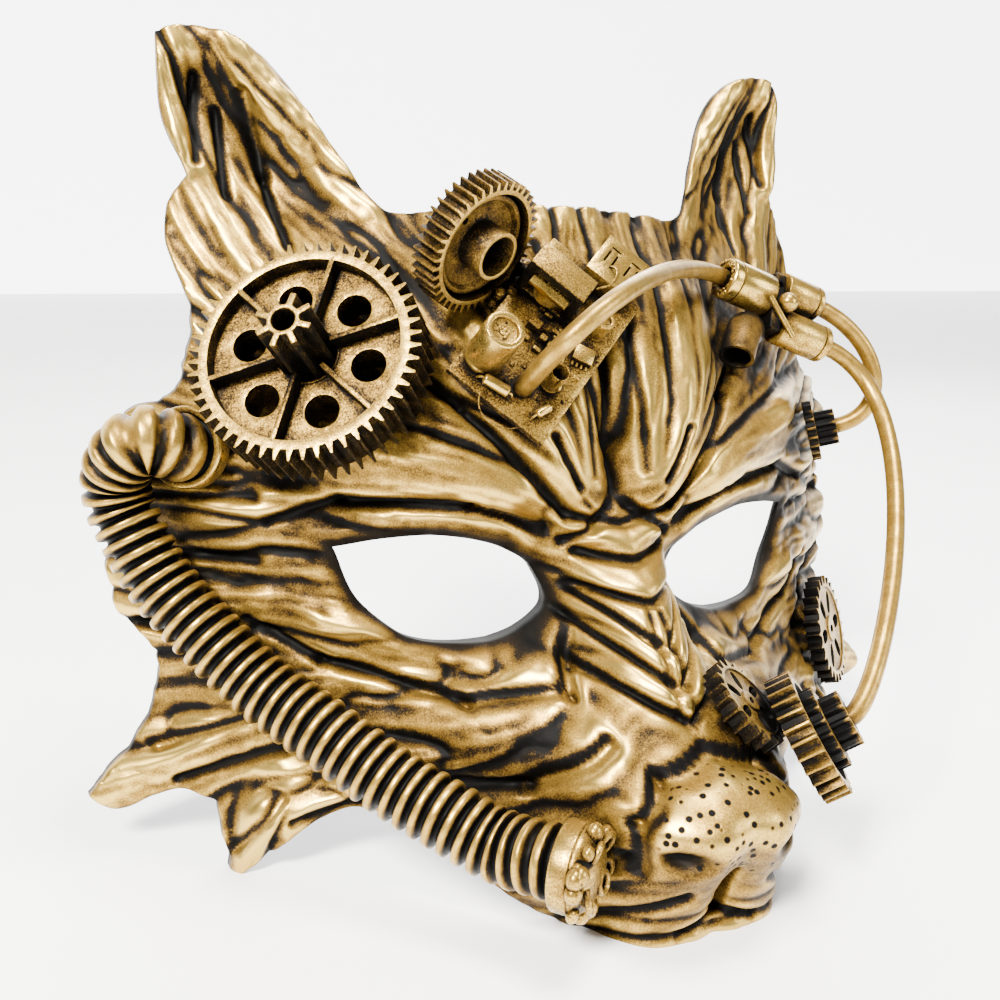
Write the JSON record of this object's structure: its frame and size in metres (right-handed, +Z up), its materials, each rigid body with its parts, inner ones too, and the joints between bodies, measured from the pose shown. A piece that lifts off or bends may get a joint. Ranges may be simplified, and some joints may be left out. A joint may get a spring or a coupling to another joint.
{
  "type": "animal mask",
  "caption": "Moulded wolf half mask with pointed ears, open eyes and a hollow muzzle, dressed with toy gears, a small circuit board, stiff cables and a ribbed hose.",
  "frame": {"origin": "middle of the chin's bottom edge, on the surface the mask rests on", "axes": "+Z up, +X to the wearer's left side of the mask, the face looks along -Y"},
  "size_m": [0.245, 0.1323, 0.2007],
  "materials": {
    "mask_shell": "antique gold rubbed over black, satin",
    "large_gear": "antique gold rubbed over black, satin",
    "crown_gear": "antique gold rubbed over black, satin",
    "circuit_board": "antique gold rubbed over black, satin",
    "large_can": "antique gold rubbed over black, satin",
    "small_can": "antique gold rubbed over black, satin",
    "torn_can": "antique gold rubbed over black, satin",
    "transformer_core": "antique gold rubbed over black, satin",
    "transformer_bobbin": "antique gold rubbed over black, satin",
    "socket_shell": "antique gold rubbed over black, satin",
    "chip": "antique gold rubbed over black, satin",
    "resistor": "antique gold rubbed over black, satin",
    "diode": "antique gold rubbed over black, satin",
    "splitter_inlet": "antique gold rubbed over black, satin",
    "splitter_upper": "antique gold rubbed over black, satin",
    "splitter_lower": "antique gold rubbed over black, satin",
    "splitter_joint": "antique gold rubbed over black, satin",
    "splitter_ball": "antique gold rubbed over black, satin",
    "splitter_rod": "antique gold rubbed over black, satin",
    "tube_clip": "antique gold rubbed over black, satin",
    "board_cable": "antique gold rubbed over black, satin",
    "temple_cable": "antique gold rubbed over black, satin",
    "nose_cable": "antique gold rubbed over black, satin",
    "temple_gear": "antique gold rubbed over black, satin",
    "cheek_gear": "antique gold rubbed over black, satin",
    "nose_spoked_gear": "antique gold rubbed over black, satin",
    "nose_gear_stack": "antique gold rubbed over black, satin",
    "hose": "antique gold rubbed over black, satin",
    "hose_socket_top": "antique gold rubbed over black, satin",
    "hose_socket_nose": "antique gold rubbed over black, satin"
  },
  "bodies": {
    "root": {"mask_shell": "mask_shell", "large_gear": "large_gear", "crown_gear": "crown_gear", "circuit_board": "circuit_board", "large_can": "large_can", "small_can": "small_can", "torn_can": "torn_can", "transformer_core": "transformer_core", "transformer_bobbin": "transformer_bobbin", "socket_shell": "socket_shell", "chip": "chip", "resistor": "resistor", "diode": "diode", "splitter_inlet": "splitter_inlet", "splitter_upper": "splitter_upper", "splitter_lower": "splitter_lower", "splitter_joint": "splitter_joint", "splitter_ball": "splitter_ball", "splitter_rod": "splitter_rod", "tube_clip": "tube_clip", "board_cable": "board_cable", "temple_cable": "temple_cable", "nose_cable": "nose_cable", "temple_gear": "temple_gear", "cheek_gear": "cheek_gear", "nose_spoked_gear": "nose_spoked_gear", "nose_gear_stack": "nose_gear_stack", "hose": "hose", "hose_socket_top": "hose_socket_top", "hose_socket_nose": "hose_socket_nose"}
  },
  "joints": []
}
